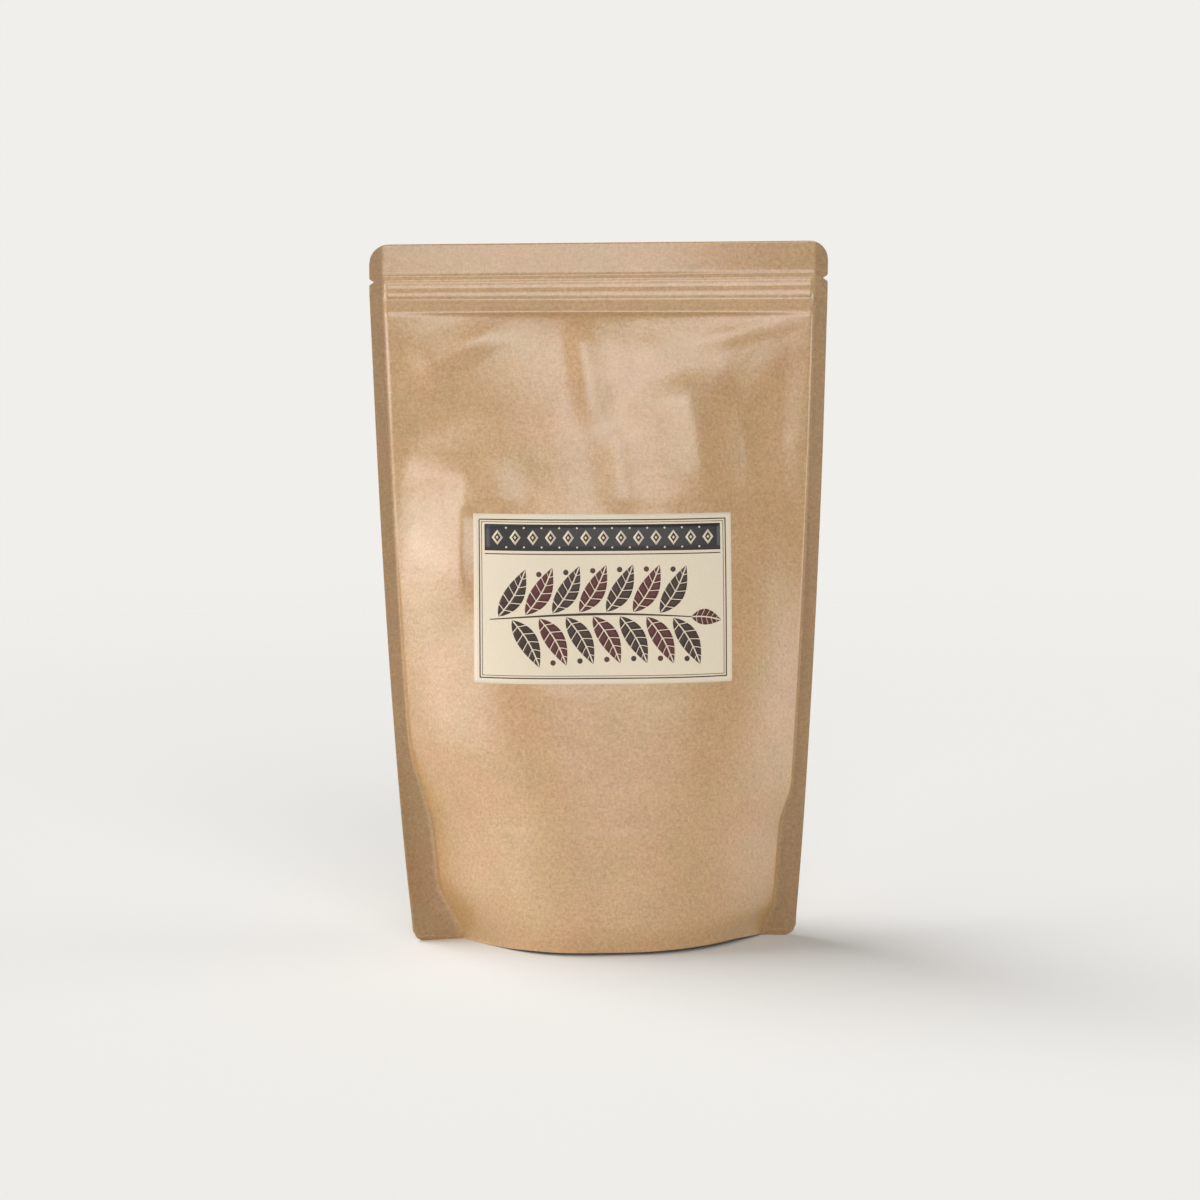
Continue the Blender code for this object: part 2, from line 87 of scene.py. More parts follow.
ZIP_LOW, ZIP_HIGH = 262.8 * MM, 275.2 * MM
ZIP_LOCK = 267.7 * MM
ZIP_EDGE = 0.5 * MM
LOCK_BULGE, LOCK_SPREAD = 0.75 * MM, 2.2 * MM
GUSSET_HEIGHT = 50 * MM
SKIRT = 7 * MM
ARC_POWER = 4
FLAT_SHARE = 0.35
FOLD_DOWN, FOLD_UP = 20 * MM, 62 * MM
LABEL_WIDTH, LABEL_HEIGHT = 106 * MM, 69 * MM
LABEL_CENTRE = 146.3 * MM

# Finer than the solids can be
FILM = 0.18 * MM
LABEL_PAPER = 0.12 * MM
LABEL_GLUE = 0.04 * MM
INK = 0.03 * MM
FOOT_TUCK, FOOT_TUCK_TOP = 2.0 * MM, 13 * MM  # the foot's weld pulls the film in just above the ground
# The foot's cut edge curls out and stays off the ground, from this far inside the side edges on
FOOT_FLARE = 0.35 * MM
FOOT_LIFT, FOOT_LIFT_MIDDLE = {LEFT: 1.2 * MM, RIGHT: 1.8 * MM}, 1.2 * MM
FOOT_LIFT_FROM = {LEFT: (26 * MM, 54 * MM), RIGHT: (6 * MM, 30 * MM)}
HEADER_LEAN = 0.19  # slope of the header, back from upright
# Where the fill rounds the belly's sides most
FULLER_LOW, FULLER_HIGH = (0 * MM, 95 * MM), (135 * MM, 195 * MM)
FULLER_SQUARE, FULLER_SOFT = 3.1, 1.0
EAR_CURL = {LEFT: 4.2 * MM, RIGHT: 1.0 * MM}  # how far the foot's ears curl forward at their edge
EAR_CURL_TOP = 100 * MM
TOP_WELD_SHARE = 0.15  # how dark and dull the top weld is, where the side welds are 1; the darkening is partly painted shade
LABEL_HOLD = (-3 * MM, 6 * MM)  # past the label's edge: where the film starts to come free, and where it is
# Crumples of the film: their sizes, and their heights in mm
BROAD, SMALL, FINE = 34 * MM, 13 * MM, 5.5 * MM
BROAD_HEIGHT, SMALL_HEIGHT, FINE_HEIGHT = 0.75, 0.16, 0.035
# Relief of the zipper and the welds: height of each line, how far it stands out, and how wide it spreads
GUIDE_LINE, GUIDE_BULGE, GUIDE_SPREAD = 272.9 * MM, 0.34 * MM, 0.8 * MM
LOCK_LINE_BULGE, LOCK_LINE_SPREAD = 0.5 * MM, 1.2 * MM
RIM_LINE, RIM_BULGE, RIM_SPREAD = 277.9 * MM, 0.5 * MM, 0.8 * MM
RIB_HEIGHT, RIB_PITCH = 0.03 * MM, 1.3 * MM
RIBS_START, RIBS_END = (280 * MM, 282 * MM), (288.5 * MM, 290 * MM)
SEAM_BULGE, SEAM_SPREAD = 0.16 * MM, 0.4 * MM
# Where a fold rises and dies away, as shares of its length, and how round its crest is in mm
FOLD_RISES, FOLD_DIES = (-0.16, 0.16), (0.7, 1.35)
CREST_ROUND = 0.6

# Folds of the slack film above the fill. From one point to another in mm (across, up), the crest's height,
# the width of the slope on the left of the way from the first point to the second, the width on its right,
# and the crest's sharpness.
FRONT_FOLDS = [
    ((34.5, 234), (43, 186), 3.6, 21, 28, 1.06),
    ((5, 214), (9, 180), 1.8, 16, 12, 1.2),
    ((-10, 262), (-4, 222), 2.0, 12, 8, 1.3),
    ((6, 262), (8, 236), 1.0, 8, 11, 1.5),
    ((-73, 238), (-42, 257), 2.2, 19, 9, 1.15),
    ((86, 263), (46, 252), 1.4, 7, 7, 1.5),
    ((-55, 201), (-60, 150), 2.6, 24, 36, 1.06),
    ((56, 173), (76, 171), 0.35, 4, 5, 1.6),
]
BACK_FOLDS = [
    ((-36, 250), (-20, 190), 2.2, 14, 20, 1.5),
    ((30, 246), (24, 184), 2.0, 18, 12, 1.5),
    ((72, 236), (44, 252), 1.6, 9, 14, 1.6),
    ((-80, 205), (-52, 210), 1.2, 12, 24, 1.8),
    ((8, 215), (-4, 170), 1.2, 10, 14, 1.6),
]
# Soft dents: across, up, half sizes along and across, turn in degrees, height
FRONT_DENTS = [
    (-66, 216, 24, 11, 8, -1.5),
    (21, 247, 10, 8, 0, 0.7),
    (66, 214, 36, 15, 80, -2.4),
    (-45, 176, 32, 12, 84, 0.8),
    (70, 238, 22, 9, 62, 0.8),
    (-20, 60, 60, 16, 86, 0.6),
    (24, 40, 40, 18, 95, -0.5),
]
BACK_DENTS = [
    (-30, 228, 36, 11, 40, -2.0),
    (28, 232, 34, 11, -52, 1.4),
    (40, 180, 40, 12, 75, -1.8),
    (-46, 150, 40, 14, 95, 1.6),
    (4, 120, 44, 16, 20, -1.2),
]
DENTS = {FRONT: FRONT_DENTS, BACK: BACK_DENTS}
FOLDS = {FRONT: FRONT_FOLDS, BACK: BACK_FOLDS}


# Shape of the film


def smooth_step(value, start, end):
    """0 at start, 1 at end, with no corner at either."""
    share = min(1.0, max(0.0, (value - start) / (end - start)))
    return share * share * (3 - 2 * share)


def blend(a, b, share):
    return a + (b - a) * share


def half_width(z, side):
    """From the middle of the pouch to its side edge."""
    down = min(1.0, max(0.0, 1 - z / FLAT_ABOVE))
    return WIDTH / 2 - FOOT_DRAWN_IN[side] * (DRAW_LINEAR * down + DRAW_CUBIC * down**3)


def weld_width(z, side):
    """Width of the flat weld along the side edge."""
    ear = EAR_EXTRA[side] * smooth_step(z, EAR_TOP[side], EAR_SHOULDER[side])
    toe = TOE_EXTRA[side] * smooth_step(z, TOE_TOP[side], 0)
    return SIDE_WELD + ear + toe


def fold(z, side):
    """From the middle of the pouch to where the belly meets the side weld."""
    return half_width(z, side) - weld_width(z, side)


def dent(x, z, dents):
    """The sum of the soft dents here, out from the web."""
    total = 0.0
    for across, up, along, wide, turn, height in dents:
        dx, dz = x - across * MM, z - up * MM
        c, s = math.cos(math.radians(turn)), math.sin(math.radians(turn))
        u = (dx * c + dz * s) / (along * MM)
        v = (dz * c - dx * s) / (wide * MM)
        total += height * MM * math.exp(-u * u - v * v)
    return total


def creases(x, z, folds):
    """The sum of the folds here: each has a crest along a line and a slope on either side."""
    total = 0.0
    for start, end, height, wide_left, wide_right, sharpness in folds:
        way_x, way_z = end[0] - start[0], end[1] - start[1]
        length = math.hypot(way_x, way_z)
        way_x, way_z = way_x / length, way_z / length
        dx, dz = x / MM - start[0], z / MM - start[1]
        along = dx * way_x + dz * way_z
        off = dx * way_z - dz * way_x  # to the right of the way
        wide = wide_right if off > 0 else wide_left
        near = 1 - math.hypot(off, CREST_ROUND) / wide
        if near <= 0:
            continue
        begun = smooth_step(along / length, *FOLD_RISES)
        ended = smooth_step(along / length, *FOLD_DIES)
        total += height * MM * begun * (1 - ended) * near**sharpness * (1.25 - 0.25 * near)
    return total


def under_label(x, z):
    """1 behind the label, which keeps the film flat, and 0 away from it."""
    past_side = smooth_step(abs(x) - LABEL_WIDTH / 2, *LABEL_HOLD)
    past_end = smooth_step(abs(z - LABEL_CENTRE) - LABEL_HEIGHT / 2, *LABEL_HOLD)
    return (1 - past_side) * (1 - past_end)


def crumple(x, z, face):
    """Slight unevenness of the film, a little stronger above the fill, where nothing presses it out."""
    slack = blend(0.45, 1.0, smooth_step(z, 110 * MM, 190 * MM))
    if face == FRONT:
        slack *= 1 - 0.85 * under_label(x, z)
    broad = noise.noise(Vector((x, face * 0.1, z)) / BROAD) * BROAD_HEIGHT
    small = noise.noise(Vector((x, 3 + face, z)) / SMALL) * SMALL_HEIGHT
    fine = noise.noise(Vector((x, 7 + face, z)) / FINE) * FINE_HEIGHT
    return (broad + small + fine) * slack * MM


def belly(x, z, face):
    """How far a web stands out from the plane of the side welds."""
    side = RIGHT if x > 0 else LEFT
    inside = fold(z, side) - abs(x)
    if inside <= 0 or z >= BELLY_TOP:
        return 0.0
    share = max(z, 0.0) / BELLY_TOP
    depth = BELLY_DEPTH * (1 - share**BELLY_FALL) ** BELLY_SHOULDER
    fuller = smooth_step(z, *FULLER_LOW) * (1 - smooth_step(z, *FULLER_HIGH))
    square = blend(blend(SECTION_TOP, SECTION_FOOT, (1 - share) ** 1.5), FULLER_SQUARE, fuller)
    soft = blend(SECTION_SOFT[side], FULLER_SOFT, fuller)
    section = (1 - (abs(x) / fold(z, side)) ** square) ** soft
    ridge_here = smooth_step(z, 6 * MM, 24 * MM) * (1 - smooth_step(z, 130 * MM, 246 * MM))
    ridge = ridge_here * smooth_step(inside, 0, RIDGE_RISE) * math.exp(-inside / RIDGE_RUN)
    edges = smooth_step(inside, 0, 12 * MM) * smooth_step(BELLY_TOP - z, 0, 14 * MM)
    slack = dent(x, z, DENTS[face]) + creases(x, z, FOLDS[face])
    if face == FRONT:
        slack *= 1 - under_label(x, z)
    uneven = slack + crumple(x, z, face)
    # The film is held off the weld by the zipper's ends, so the empty corners stand up as a small step
    corner = 0.9 * MM * smooth_step(z, 190 * MM, 240 * MM) * smooth_step(inside, 0, 1.3 * MM)
    corner *= smooth_step(BELLY_TOP - z, 0, 1.6 * MM)
    tuck = FOOT_TUCK * (1 - smooth_step(z, 0, FOOT_TUCK_TOP)) * smooth_step(inside, 0, 14 * MM)
    return depth * section + RIDGE_HEIGHT[side] * ridge + edges * uneven + corner - tuck


def tape_outside(z):
    """From the pouch's middle to the outside of either zipper tape."""
    return ZIP_EDGE + LOCK_BULGE * math.exp(-(((z - ZIP_LOCK) / LOCK_SPREAD) ** 2))


def zip_relief(x, z):
    """How far the zipper between the webs pushes each of them out."""
    up = smooth_step(z, ZIP_LOW - 1.6 * MM, ZIP_LOW - 0.1 * MM)
    up *= 1 - smooth_step(z, ZIP_HIGH, ZIP_HIGH + 1.2 * MM)
    guide = GUIDE_BULGE * math.exp(-(((z - GUIDE_LINE) / GUIDE_SPREAD) ** 2))
    lock = LOCK_LINE_BULGE * math.exp(-(((z - ZIP_LOCK) / LOCK_LINE_SPREAD) ** 2))
    reach = WIDTH / 2 - SIDE_WELD
    return (tape_outside(z) + guide + lock) * up * (1 - smooth_step(abs(x), reach - 1.5 * MM, reach))


def weld_relief(x, z):
    """Lines that the heated jaws press into the top and side welds."""
    rim = RIM_BULGE * math.exp(-(((z - RIM_LINE) / RIM_SPREAD) ** 2))
    ribs = RIB_HEIGHT * math.sin(z / RIB_PITCH * math.tau) * smooth_step(z, *RIBS_START)
    ribs *= 1 - smooth_step(z, *RIBS_END)
    across = 1 - smooth_step(abs(x), WIDTH / 2 - SIDE_WELD, WIDTH / 2 - SIDE_WELD + 2 * MM)
    side = RIGHT if x > 0 else LEFT
    from_line = abs(x) - (half_width(z, side) - SIDE_WELD + 1.2 * MM)
    line = SEAM_BULGE * math.exp(-((from_line / SEAM_SPREAD) ** 2)) * smooth_step(z, 255 * MM, 262 * MM)
    return (rim + ribs) * across + line


def sway(x, z):
    """The bend of the whole header, back from the pouch's middle plane."""
    side = RIGHT if x > 0 else LEFT
    return SWAY_BACK[side] * (x / (WIDTH / 2)) ** 2 * smooth_step(z, SWAY_START, HEIGHT)


def lean(x, z):
    """How far the top weld leans back: most a little left of the middle, and forward at its right end."""
    share = max(-0.7, 1 - ((x + 24 * MM) / (88 * MM)) ** 2)
    wave = 0.25 * noise.noise(Vector((x / (38 * MM), 0.5, 0.0)))
    return HEADER_LEAN * (share + wave) * max(0.0, z - ZIP_HIGH - 1 * MM)


def ear_curl(x, z):
    """How far the flat ears at the foot curl forward."""
    side = RIGHT if x > 0 else LEFT
    share = min(1.0, max(0.0, (abs(x) - fold(z, side)) / weld_width(z, side)))
    return EAR_CURL[side] * share**2 * (1 - smooth_step(z, 0.3 * EAR_CURL_TOP, EAR_CURL_TOP))


def bow(x, z):
    """How far back the middle of the pouch's layers is here from its flat middle plane."""
    return sway(x, z) + lean(x, z) - ear_curl(x, z)


def skew(x, z):
    """How far the header is shifted up here, since its top edge isn't cut quite square."""
    return TOP_SKEW * (x / (WIDTH / 2)) * smooth_step(z, ZIP_LOW, HEIGHT - TOP_WELD)


def stand_off(x, z, face):
    """From the pouch's middle plane to the outside of a web."""
    ear_layers = FILM * (1 - smooth_step(z, GUSSET_HEIGHT + 1 * MM, GUSSET_HEIGHT + 3 * MM))
    return FILM + ear_layers + max(belly(x, z, face), 0.0) + zip_relief(x, z) + weld_relief(x, z)


def web_point(x, z, face):
    """A point on the outside of the front or back web."""
    flare = FOOT_FLARE * (1 - smooth_step(z, 0, 0.9 * MM))
    return Vector((x, face * (stand_off(x, z, face) + flare) + bow(x, z), z))


def outward(x, z, face):
    """The web's unit normal here, out of the pouch."""
    step = 0.2 * MM
    across = web_point(x + step, z, face) - web_point(x - step, z, face)
    up = web_point(x, z + step, face) - web_point(x, z - step, face)
    normal = across.cross(up).normalized()
    return normal if normal.y * face > 0 else -normal


def corner_cut(inset, radius):
    """How much a rounded corner takes off the end of a line this far inside the side edge."""
    if inset >= radius:
        return 0.0
    return radius - math.sqrt(radius**2 - (radius - inset) ** 2)


def web_place(column, z, side):
    """(x, z) of a grid line of a web, with its corners rounded and its notches cut.

    A column up to 1 counts across the side weld, and the rest of them count on to the middle of the pouch.
    """
    weld = weld_width(z, side)
    inset = column * weld if column <= 1 else weld + (column - 1) * fold(z, side)
    top_cut = corner_cut(inset, TOP_CORNER)
    foot_cut = corner_cut(inset, FOOT_CORNER)
    band = HEIGHT - TOP_CORNER_BAND
    placed = z
    if z > band:
        placed = band + (z - band) * (TOP_CORNER_BAND - top_cut) / TOP_CORNER_BAND
    if z < FOOT_CORNER_BAND:
        lift = blend(FOOT_LIFT[side], FOOT_LIFT_MIDDLE, smooth_step(inset, 36 * MM, 74 * MM))
        foot_cut = max(foot_cut, lift * smooth_step(inset, *FOOT_LIFT_FROM[side]))
        placed = foot_cut + z * (FOOT_CORNER_BAND - foot_cut) / FOOT_CORNER_BAND
    from_notch = abs(z - (HEIGHT - NOTCH_BELOW_TOP)) / NOTCH_HALF_HEIGHT
    if from_notch < 1 and inset < NOTCH_DEPTH:
        inset += (NOTCH_DEPTH - inset) * (1 - from_notch) * 0.98
    return side * (half_width(placed, side) - inset), placed


def skirt_height(x, side):
    """Height of the weld between the gusset and a web."""
    reach = half_width(0, side) - SIDE_WELD
    return SKIRT + (GUSSET_HEIGHT - SKIRT) * min(1.0, abs(x) / reach) ** ARC_POWER


def weld_and_painted_shade(x, z):
    """How much a weld has flattened the film, and how much painted shade darkens it: 1 at the sides, less
    at the top, 0 away from them.
    """
    side = RIGHT if x > 0 else LEFT
    at_side = smooth_step(abs(x), fold(z, side) - 0.4 * MM, fold(z, side) + 0.5 * MM)
    at_top = smooth_step(z, HEIGHT - TOP_WELD, HEIGHT - TOP_WELD + 0.8 * MM)
    return max(at_side, at_top * TOP_WELD_SHARE)


# Meshes


def spread(count, near):
    """Shares from 0 to 1, closer together at 0. near is the first step's size over an even step's."""
    return [near * i / count + (1 - near) * (i / count) ** 2 for i in range(count + 1)]


def steps(start, *stretches):
    """Heights in mm from start, where each stretch is (its end, its largest step)."""
    heights = [start]
    for end, step in stretches:
        first = heights[-1]
        count = math.ceil((end - first) / step)
        heights += [first + (end - first) * (i + 1) / count for i in range(count)]
    return heights


WELD_COLUMNS = [0, 0.06, 0.14, 0.26, 0.4, 0.55, 0.7, 0.85, 1]
HALF_COLUMNS = WELD_COLUMNS + [1 + share for share in spread(62, 0.35)[1:]]
COLUMNS = [(c, LEFT) for c in HALF_COLUMNS] + [(c, RIGHT) for c in reversed(HALF_COLUMNS[:-1])]
STRETCHES = ((1.2, 0.3), (8, 1), (64, 1.5), (236, 2), (258, 1.4), (262.2, 0.7), (279.4, 0.43), (291.2, 0.7))
ROWS = steps(0, *STRETCHES)


def grid_mesh(columns, rows, place):
    """A bmesh sheet: a grid whose points place(column, row) sets."""
    sheet = bmesh.new()
    bmesh.ops.create_grid(sheet, x_segments=columns - 1, y_segments=rows - 1, size=1)
    for vertex in sheet.verts:
        column = round((vertex.co.x + 1) / 2 * (columns - 1))
        row = round((vertex.co.y + 1) / 2 * (rows - 1))
        vertex.co = place(column, row)
    return sheet


def finish_piece(name, shape, materials, nodes=(), outward_hint=None):
    """Makes the piece's object, gives it its materials and ties it to the frame."""
    if outward_hint is not None:
        shape.normal_update()
        facing = sum(face.normal.dot(Vector(outward_hint)) * face.calc_area() for face in shape.faces)
        if facing < 0:
            bmesh.ops.reverse_faces(shape, faces=shape.faces)
    for face in shape.faces:
        face.smooth = True
    mesh = bpy.data.meshes.new(name)
    shape.to_mesh(mesh)
    shape.free()
    for material in materials:
        mesh.materials.append(material)
    piece = bpy.data.objects.new(name, mesh)
    bpy.context.scene.collection.objects.link(piece)
    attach(piece, "root")
    if nodes:
        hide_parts(*nodes)
    return piece


def give_wall(piece, thickness, offset, rim=0, even=True):
    """Gives a sheet its thickness. An even one would spike where the sheet is folded back on itself."""
    wall = piece.modifiers.new("wall", "SOLIDIFY")
    wall.thickness = thickness
    wall.offset = offset
    wall.use_even_offset = even
    wall.material_offset_rim = rim


def build_web(name, face, node_name, materials, thickness):
    def place(column, row):
        line, side = COLUMNS[column]
        x, z = web_place(line, ROWS[row] * MM, side)
        return web_point(x, z, face) + Vector((0, 0, skew(x, z)))

    sheet = grid_mesh(len(COLUMNS), len(ROWS), place)
    # The weld share also darkens the film's colour: partly pressed paper, partly painted shade on the side
    # welds recessed beside the belly
    weld = sheet.verts.layers.float.new("weld")
    for vertex in sheet.verts:
        vertex[weld] = weld_and_painted_shade(vertex.co.x, vertex.co.z)
    web = finish_piece(name, sheet, materials, (node_name,), (0, face, 0))
    give_wall(web, thickness, -1, 1)
    return web


def gusset_layer(x, z, face):
    """A point in the middle of the gusset's film where it is welded to a web."""
    return web_point(x, z, face) - outward(x, z, face) * (1.5 * FILM)


def fold_height(x, weld, depth):
    """Height of the gusset's middle fold: on the ground in the middle, and up inside the ears."""
    spare = max((GUSSET_HEIGHT - weld) ** 2 - depth**2, (FILM / 2) ** 2)
    up = weld + math.sqrt(spare)
    return max(FILM / 2, up * smooth_step(abs(x), FOLD_DOWN, FOLD_UP))


def build_gusset(materials, thickness):
    """The bottom film: up the inside of the front web, over to the middle, and down inside the back web."""
    skirt_rows = [i / 8 for i in range(9)]
    floor_rows = [(i + 1) / 16 for i in range(15)]
    half = WELD_COLUMNS + [1 + share for share in spread(40, 0.4)[1:]]
    lines = [(c, LEFT) for c in half] + [(c, RIGHT) for c in reversed(half[:-1])]
    path = [(FRONT, "skirt", s) for s in skirt_rows] + [(FRONT, "floor", s) for s in floor_rows]
    path += [(FRONT, "floor", 1)]
    path += [(BACK, "floor", s) for s in reversed(floor_rows)]
    path += [(BACK, "skirt", s) for s in reversed(skirt_rows)]

    def place(column, row):
        line, side = lines[column]
        face, stretch, share = path[row]
        x, lowest = web_place(line, 0, side)
        weld = max(skirt_height(x, side), lowest + FILM)
        if stretch == "skirt":
            z = blend(lowest, weld, share)
            return gusset_layer(web_place(line, z, side)[0], z, face)
        top = gusset_layer(web_place(line, weld, side)[0], weld, face)
        off = top.y - bow(top.x, weld)
        middle = fold_height(x, weld, abs(off))
        if middle < weld:
            rise = max(0.0, (1 - share - FLAT_SHARE) / (1 - FLAT_SHARE)) ** 2.5
        else:
            rise = (1 - share) ** 1.7
        height = blend(middle, weld, rise)
        return Vector((top.x, off * (1 - share) + bow(top.x, height), height))

    sheet = grid_mesh(len(lines), len(path), place)
    gusset = finish_piece("bottom_gusset_film", sheet, materials, ("bottom_gusset",), (0, 0, 1))
    give_wall(gusset, thickness, 0, 1, even=False)
    return gusset


def label_point(across, up, lift):
    """A point over the label, from its middle in metres, lifted off the web."""
    x, z = across, LABEL_CENTRE + up
    return web_point(x, z, FRONT) + outward(x, z, FRONT) * lift


def build_label(materials, thickness):
    columns, rows = 73, 49

    def place(column, row):
        across = (column / (columns - 1) - 0.5) * LABEL_WIDTH
        up = (row / (rows - 1) - 0.5) * LABEL_HEIGHT
        return label_point(across, up, LABEL_PAPER + LABEL_GLUE)

    sheet = grid_mesh(columns, rows, place)
    label = finish_piece("label_paper", sheet, materials, ("paper_label",), (0, FRONT, 0))
    give_wall(label, thickness, -1)
    return label


CHARCOAL, BROWN, MAROON, CREAM = range(4)
# Each leaf's parts along its length, half the bare gap between two of them, and half the bare midrib in mm
LEAF_VEINS, VEIN_GAP, LEAF_RIB = 6, 0.055, 0.28


class Print:
    """Thin films of ink on the label, as one mesh. Places are in mm from the label's middle."""

    def __init__(self):
        self.mesh = bmesh.new()

    def patch(self, columns, rows, place, ink, layer=1):
        """A sheet of ink: place takes two shares from 0 to 1 and gives (across, up)."""
        made = bmesh.ops.create_grid(self.mesh, x_segments=columns, y_segments=rows, size=1)["verts"]
        lift = LABEL_PAPER + LABEL_GLUE + layer * 1.5 * INK
        for vertex in made:
            across, up = place((vertex.co.x + 1) / 2, (vertex.co.y + 1) / 2)
            vertex.co = label_point(across * MM, up * MM, lift)
        faces = list({face for vertex in made for face in vertex.link_faces})
        for face in faces:
            face.normal_update()
            face.material_index = ink
        if sum(face.normal.y for face in faces) > 0:
            bmesh.ops.reverse_faces(self.mesh, faces=faces)

    def bar(self, left, low, right, high, ink, layer=1):
        columns, rows = math.ceil((right - left) / 2.5), math.ceil((high - low) / 2.5)
        self.patch(columns, rows, lambda u, v: (blend(left, right, u), blend(low, high, v)), ink, layer)

    def lozenge(self, across, up, half_wide, half_high, ink, layer=1):
        def place(u, v):
            return across + (u - v) * half_wide, up + (u + v - 1) * half_high

        self.patch(2, 2, place, ink, layer)

    def leaf(self, foot, turn, length, half_wide, bend, ink):
        """A leaf in two halves beside a bare midrib, each split by bare slanting veins."""
        c, s = math.cos(math.radians(turn)), math.sin(math.radians(turn))
        for side in (-1, 1):
            for part in range(LEAF_VEINS):

                def place(u, v, side=side, part=part):
                    gap = VEIN_GAP if part < LEAF_VEINS - 1 else 0.0
                    along = (part + u * (1 - gap * 2)) / LEAF_VEINS
                    along = min(1.0, along + 0.10 * v * math.sin(math.pi * along))
                    wide = half_wide * math.sin(math.pi * along**0.85) ** 0.9 if 0 < along < 1 else 0.0
                    rib = min(LEAF_RIB, wide)
                    off = side * blend(rib, max(wide, rib), v) + bend * math.sin(math.pi * along)
                    return foot[0] + along * length * c - off * s, foot[1] + along * length * s + off * c

                self.patch(3, 4, place, ink)

    def stem(self, start, end, half_wide, ink):
        """A stem along the sprig's arch, thinner towards its ends."""
        def place(u, v):
            across = blend(start, end, u)
            return across, sprig_height(across) + (v - 0.5) * 2 * half_wide * (1 - 0.6 * abs(2 * u - 1))

        self.patch(48, 1, place, ink)

    def berry(self, across, up, radius, ink):
        def place(u, v):
            a, b = 2 * u - 1, 2 * v - 1
            round_x, round_y = a * math.sqrt(1 - b * b / 2), b * math.sqrt(1 - a * a / 2)
            return across + radius * round_x, up + radius * round_y

        self.patch(6, 6, place, ink)


# A sprig across the label, in mm from its middle: two rows of leaves on an arched stem, and berries
SPRIG_START, SPRIG_END = -46.5, 36
SPRIG_LOW, SPRIG_ARCH, SPRIG_REACH = -8.6, 2.6, 50
STEM_HALF_WIDE = 0.5
LEAF_PITCH = 11
LEAVES_EACH_ROW = 7
UPPER_START, LOWER_START = -43, -37.5
LEAF_TURN, LEAF_LENGTH, LEAF_HALF_WIDE, LEAF_BEND = 60, 22, 4.1, 1.2
LEAF_OFF_STEM = 0.9
END_LEAF = (-8, 12.5, 3.2, 0.6)  # turn in degrees, length, half width and bend
BERRY_RADIUS, BERRY_OUT = 1.1, 17.2
# The border's lines, each inset and thick by this much, and the dark band with the thin rule under it
BORDER_LINES = ((2.2, 0.45), (3.3, 0.22))
BAND_LOW, BAND_HIGH, BAND_INSET = 19.5, 30.2, 4.6
RULE_LOW, RULE_HIGH = 1.5, 1.1
# The band's lozenges: half sizes and ink of each one's rings, and the dots between them
LOZENGES, LOZENGE_PITCH = 13, 7.2
LOZENGE_RINGS = ((2.3, 3.1, CREAM), (1.35, 1.85, CHARCOAL), (0.55, 0.75, CREAM))
DOT_OUT, DOT_HALF = 3.9, 0.5


def sprig_height(across):
    """Height of the stem's middle line."""
    return SPRIG_LOW + SPRIG_ARCH * math.cos(across / SPRIG_REACH * math.pi / 2)


def build_print(materials):
    """Border, dark band of lozenges and a leafy sprig, in four inks. All sizes are in mm."""
    ink = Print()
    half_wide, half_high = LABEL_WIDTH / 2 / MM, LABEL_HEIGHT / 2 / MM
    for inset, thick in BORDER_LINES:
        x, y = half_wide - inset, half_high - inset
        ink.bar(-x, y - thick, x, y, BROWN)
        ink.bar(-x, -y, x, -y + thick, BROWN)
        ink.bar(-x, -y + thick, -x + thick, y - thick, BROWN)
        ink.bar(x - thick, -y + thick, x, y - thick, BROWN)
    band = half_wide - BAND_INSET
    ink.bar(-band, BAND_LOW, band, BAND_HIGH, CHARCOAL)
    middle = (BAND_LOW + BAND_HIGH) / 2
    for number in range(LOZENGES):
        across = (number - (LOZENGES - 1) / 2) * LOZENGE_PITCH
        for layer, (ring_wide, ring_high, colour) in enumerate(LOZENGE_RINGS, 2):
            ink.lozenge(across, middle, ring_wide, ring_high, colour, layer)
        if number < LOZENGES - 1:
            for up in (-DOT_OUT, DOT_OUT):
                ink.lozenge(across + LOZENGE_PITCH / 2, middle + up, DOT_HALF, DOT_HALF, CREAM, 2)
    ink.bar(-band, BAND_LOW - RULE_LOW, band, BAND_LOW - RULE_HIGH, MAROON)
    ink.stem(SPRIG_START, SPRIG_END, STEM_HALF_WIDE, BROWN)
    ink.leaf((SPRIG_END, sprig_height(SPRIG_END)), *END_LEAF, MAROON)
    reach = LEAF_LENGTH * math.cos(math.radians(LEAF_TURN)) + LEAF_PITCH / 2
    for row, first in ((1, UPPER_START), (-1, LOWER_START)):
        for number in range(LEAVES_EACH_ROW):
            across = first + number * LEAF_PITCH
            foot = (across, sprig_height(across) + row * LEAF_OFF_STEM)
            colour, other = (BROWN, MAROON) if number % 2 == 0 else (MAROON, BROWN)
            ink.leaf(foot, row * LEAF_TURN, LEAF_LENGTH, LEAF_HALF_WIDE, -row * LEAF_BEND, colour)
            if number < LEAVES_EACH_ROW - 1:
                ink.berry(across + reach, foot[1] + row * BERRY_OUT, BERRY_RADIUS, other)
    printed = finish_piece("label_print", ink.mesh, materials)
    give_wall(printed, INK * 0.9, -1)
    return printed


# Finishes


def linear(hex_colour):
    """An sRGB hex colour as the linear values that a shader takes."""
    parts = [int(hex_colour[i : i + 2], 16) / 255 for i in (1, 3, 5)]
    return tuple(p / 12.92 if p <= 0.04045 else ((p + 0.055) / 1.055) ** 2.4 for p in parts) + (1.0,)


def add_node(tree, kind, inputs=None, **settings):
    """Adds a node. Each of its inputs gets a value, or a link where the value is another node's socket."""
    made = tree.nodes.new(kind)
    for name, value in settings.items():
        setattr(made, name, value)
    for key, value in (inputs or {}).items():
        if isinstance(value, bpy.types.NodeSocket):
            tree.links.new(value, made.inputs[key])
        else:
            made.inputs[key].default_value = value
    return made


def new_material(name):
    material = bpy.data.materials.new(name)
    material.use_nodes = True
    return material, material.node_tree, material.node_tree.nodes["Principled BSDF"]


